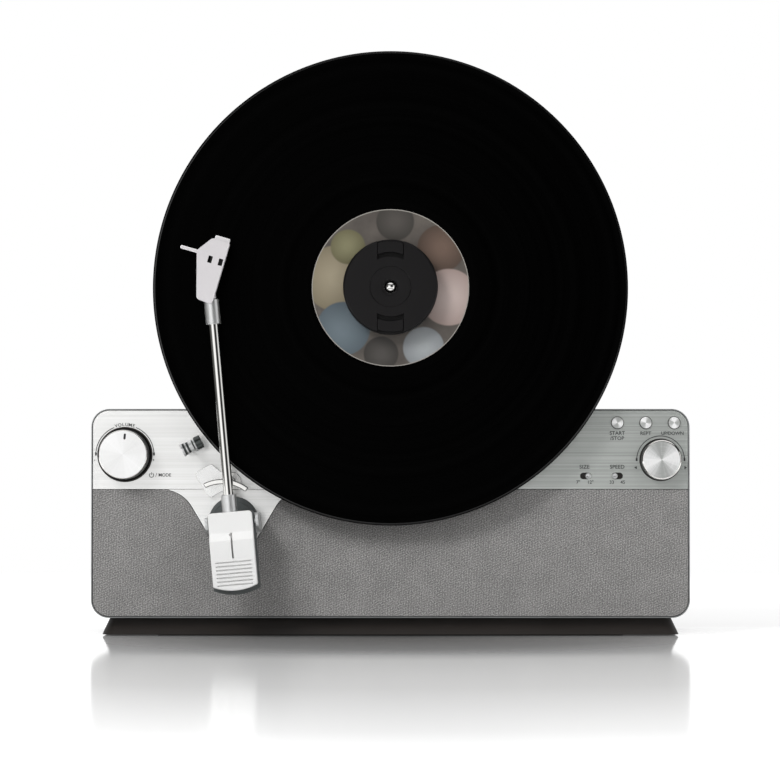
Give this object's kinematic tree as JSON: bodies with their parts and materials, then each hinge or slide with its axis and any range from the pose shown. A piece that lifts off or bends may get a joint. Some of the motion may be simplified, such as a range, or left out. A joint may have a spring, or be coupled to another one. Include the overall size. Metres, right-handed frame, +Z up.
{
  "type": "vertical record player",
  "caption": "Low cabinet with a cloth grille and controls, a tower that holds the record upright under a clamp, and a swinging pick-up arm on a front plinth.",
  "frame": {"origin": "on the surface it stands on, under the middle of its width and depth", "axes": "+X to the right seen from the front, +Y to the back, +Z up"},
  "size_m": [0.3832, 0.143, 0.3728],
  "materials": {
    "painted_shell": "satin anthracite paint",
    "brushed_aluminium": "fine horizontal brushing",
    "speaker_cloth": "mottled grey weave",
    "black_plastic": "fine matte",
    "rubber": "matte",
    "paper_cone": "pressed paper",
    "plain_steel": "plain",
    "circuit_board": "lacquered board",
    "vinyl": "glossy, grooved",
    "printed_paper": "printed paper",
    "clamp_plastic": "satin",
    "chrome": "polished",
    "satin_aluminium": "turned satin",
    "silver_plastic": "satin silver",
    "silver_casting": "painted satin silver",
    "headshell_plastic": "satin",
    "turret_plastic": "satin",
    "brass": "turned",
    "nylon": "natural"
  },
  "bodies": {
    "base": {"cabinet_shell": "painted_shell", "front_baffle": "black_plastic", "control_fascia": "brushed_aluminium", "arm_plinth": "brushed_aluminium", "grille_frame": "black_plastic", "grille_cloth": "speaker_cloth", "rear_panel": "black_plastic", "base_plinth": "black_plastic", "foot_front": "rubber", "foot_rear": "rubber", "speaker_frame_left": "plain_steel", "speaker_cone_left": "paper_cone", "speaker_frame_right": "plain_steel", "speaker_cone_right": "paper_cone", "main_board": "circuit_board", "control_board": "circuit_board", "rear_sockets": "black_plastic", "tower_front_cover": "painted_shell", "tower_rear_cover": "painted_shell", "spindle_bearing": "brass", "platter_motor": "plain_steel", "drive_belt": "rubber", "volume_encoder": "plain_steel", "jog_encoder": "plain_steel", "arm_bearing_housing": "turret_plastic", "arm_rest": "chrome", "lifter_guide": "silver_plastic", "lifter_actuator": "black_plastic", "arm_motor": "plain_steel"},
    "motor_pulley": {"motor_pulley": "brass"},
    "turntable": {"platter": "satin_aluminium", "platter_mat": "rubber", "spindle": "chrome", "drive_pulley": "nylon", "record": "vinyl", "record_label": "printed_paper"},
    "clamp": {"clamp_body": "clamp_plastic"},
    "latch_top": {"clamp_latch_top": "clamp_plastic"},
    "latch_bottom": {"clamp_latch_bottom": "clamp_plastic"},
    "volume_shaft": {"volume_shaft": "plain_steel"},
    "volume_knob": {"volume_knob": "satin_aluminium"},
    "jog": {"jog_shaft": "plain_steel", "jog_knob": "satin_aluminium"},
    "start_button": {"start_button": "silver_plastic"},
    "repeat_button": {"repeat_button": "silver_plastic"},
    "lift_button": {"lift_button": "silver_plastic"},
    "size_slider": {"size_slider": "silver_plastic"},
    "speed_slider": {"speed_slider": "silver_plastic"},
    "yoke": {"arm_yoke": "silver_casting", "arm_gear": "nylon", "pivot_axle": "chrome"},
    "arm_pinion": {"arm_pinion": "brass"},
    "arm": {"arm_tube": "chrome", "tail_collar": "satin_aluminium", "front_collar": "satin_aluminium", "counterweight_housing": "silver_casting", "headshell": "headshell_plastic", "cartridge": "black_plastic", "stylus": "black_plastic"},
    "lifter_bar": {"lifter_bar": "chrome"}
  },
  "joints": [
    {"name": "turntable_spin", "type": "hinge", "parent": "base", "child": "turntable", "pos_m": [0, -0.0285, 0.222], "axis": [0, 1, 0], "continuous": true},
    {"name": "motor_spin", "type": "hinge", "parent": "base", "child": "motor_pulley", "pos_m": [0, -0.0285, 0.167], "axis": [0, 1, 0], "continuous": true},
    {"name": "clamp_pull", "type": "slide", "parent": "turntable", "child": "clamp", "axis": [0, -1, 0], "range_m": [0, 0.012]},
    {"name": "latch_top_press", "type": "slide", "parent": "clamp", "child": "latch_top", "axis": [0, 0, -1], "range_m": [0, 0.0026], "stiffness_N_per_m": 200, "springref_m": -0.0008},
    {"name": "latch_bottom_press", "type": "slide", "parent": "clamp", "child": "latch_bottom", "axis": [0, 0, 1], "range_m": [0, 0.0026], "stiffness_N_per_m": 200, "springref_m": -0.0008},
    {"name": "volume_push", "type": "slide", "parent": "base", "child": "volume_shaft", "axis": [0, 1, 0], "range_m": [0, 0.0015], "stiffness_N_per_m": 600, "springref_m": -0.0008},
    {"name": "volume_turn", "type": "hinge", "parent": "volume_shaft", "child": "volume_knob", "pos_m": [-0.17005, -0.0285, 0.1162], "axis": [0, 1, 0], "range_deg": [-135, 135]},
    {"name": "jog_turn", "type": "hinge", "parent": "base", "child": "jog", "pos_m": [0.173, -0.0285, 0.1128], "axis": [0, 1, 0], "continuous": true},
    {"name": "start_press", "type": "slide", "parent": "base", "child": "start_button", "axis": [0, 1, 0], "range_m": [0, 0.0012], "stiffness_N_per_m": 500, "springref_m": -0.0005},
    {"name": "repeat_press", "type": "slide", "parent": "base", "child": "repeat_button", "axis": [0, 1, 0], "range_m": [0, 0.0012], "stiffness_N_per_m": 500, "springref_m": -0.0005},
    {"name": "lift_press", "type": "slide", "parent": "base", "child": "lift_button", "axis": [0, 1, 0], "range_m": [0, 0.0012], "stiffness_N_per_m": 500, "springref_m": -0.0005},
    {"name": "size_switch", "type": "slide", "parent": "base", "child": "size_slider", "axis": [1, 0, 0], "range_m": [-0.0032, 0]},
    {"name": "speed_switch", "type": "slide", "parent": "base", "child": "speed_slider", "axis": [1, 0, 0], "range_m": [0, 0.0032]},
    {"name": "arm_swing", "type": "hinge", "parent": "base", "child": "yoke", "pos_m": [-0.1003, -0.0285, 0.0732], "axis": [0, 1, 0], "range_deg": [-21.4, 17]},
    {"name": "arm_pinion_spin", "type": "hinge", "parent": "base", "child": "arm_pinion", "pos_m": [-0.0763, -0.0285, 0.0732], "axis": [0, 1, 0], "range_deg": [-52, 65]},
    {"name": "arm_lift", "type": "hinge", "parent": "yoke", "child": "arm", "pos_m": [-0.1003, -0.0615, 0.0732], "axis": [0.996, 0, 0.0889], "range_deg": [-1.95, 6], "stiffness_Nm_per_rad": 0.01, "springref_deg": -34.38},
    {"name": "lifter_slide", "type": "slide", "parent": "base", "child": "lifter_bar", "axis": [0, -1, 0], "range_m": [-0.0009, 0.00275]}
  ],
  "couplings": [
    {"joint": "motor_spin", "follows": "turntable_spin", "ratio": 6},
    {"joint": "arm_pinion_spin", "follows": "arm_swing", "ratio": -3},
    {"joint": "lifter_slide", "follows": "arm_lift", "m_per_rad": 0.026}
  ]
}
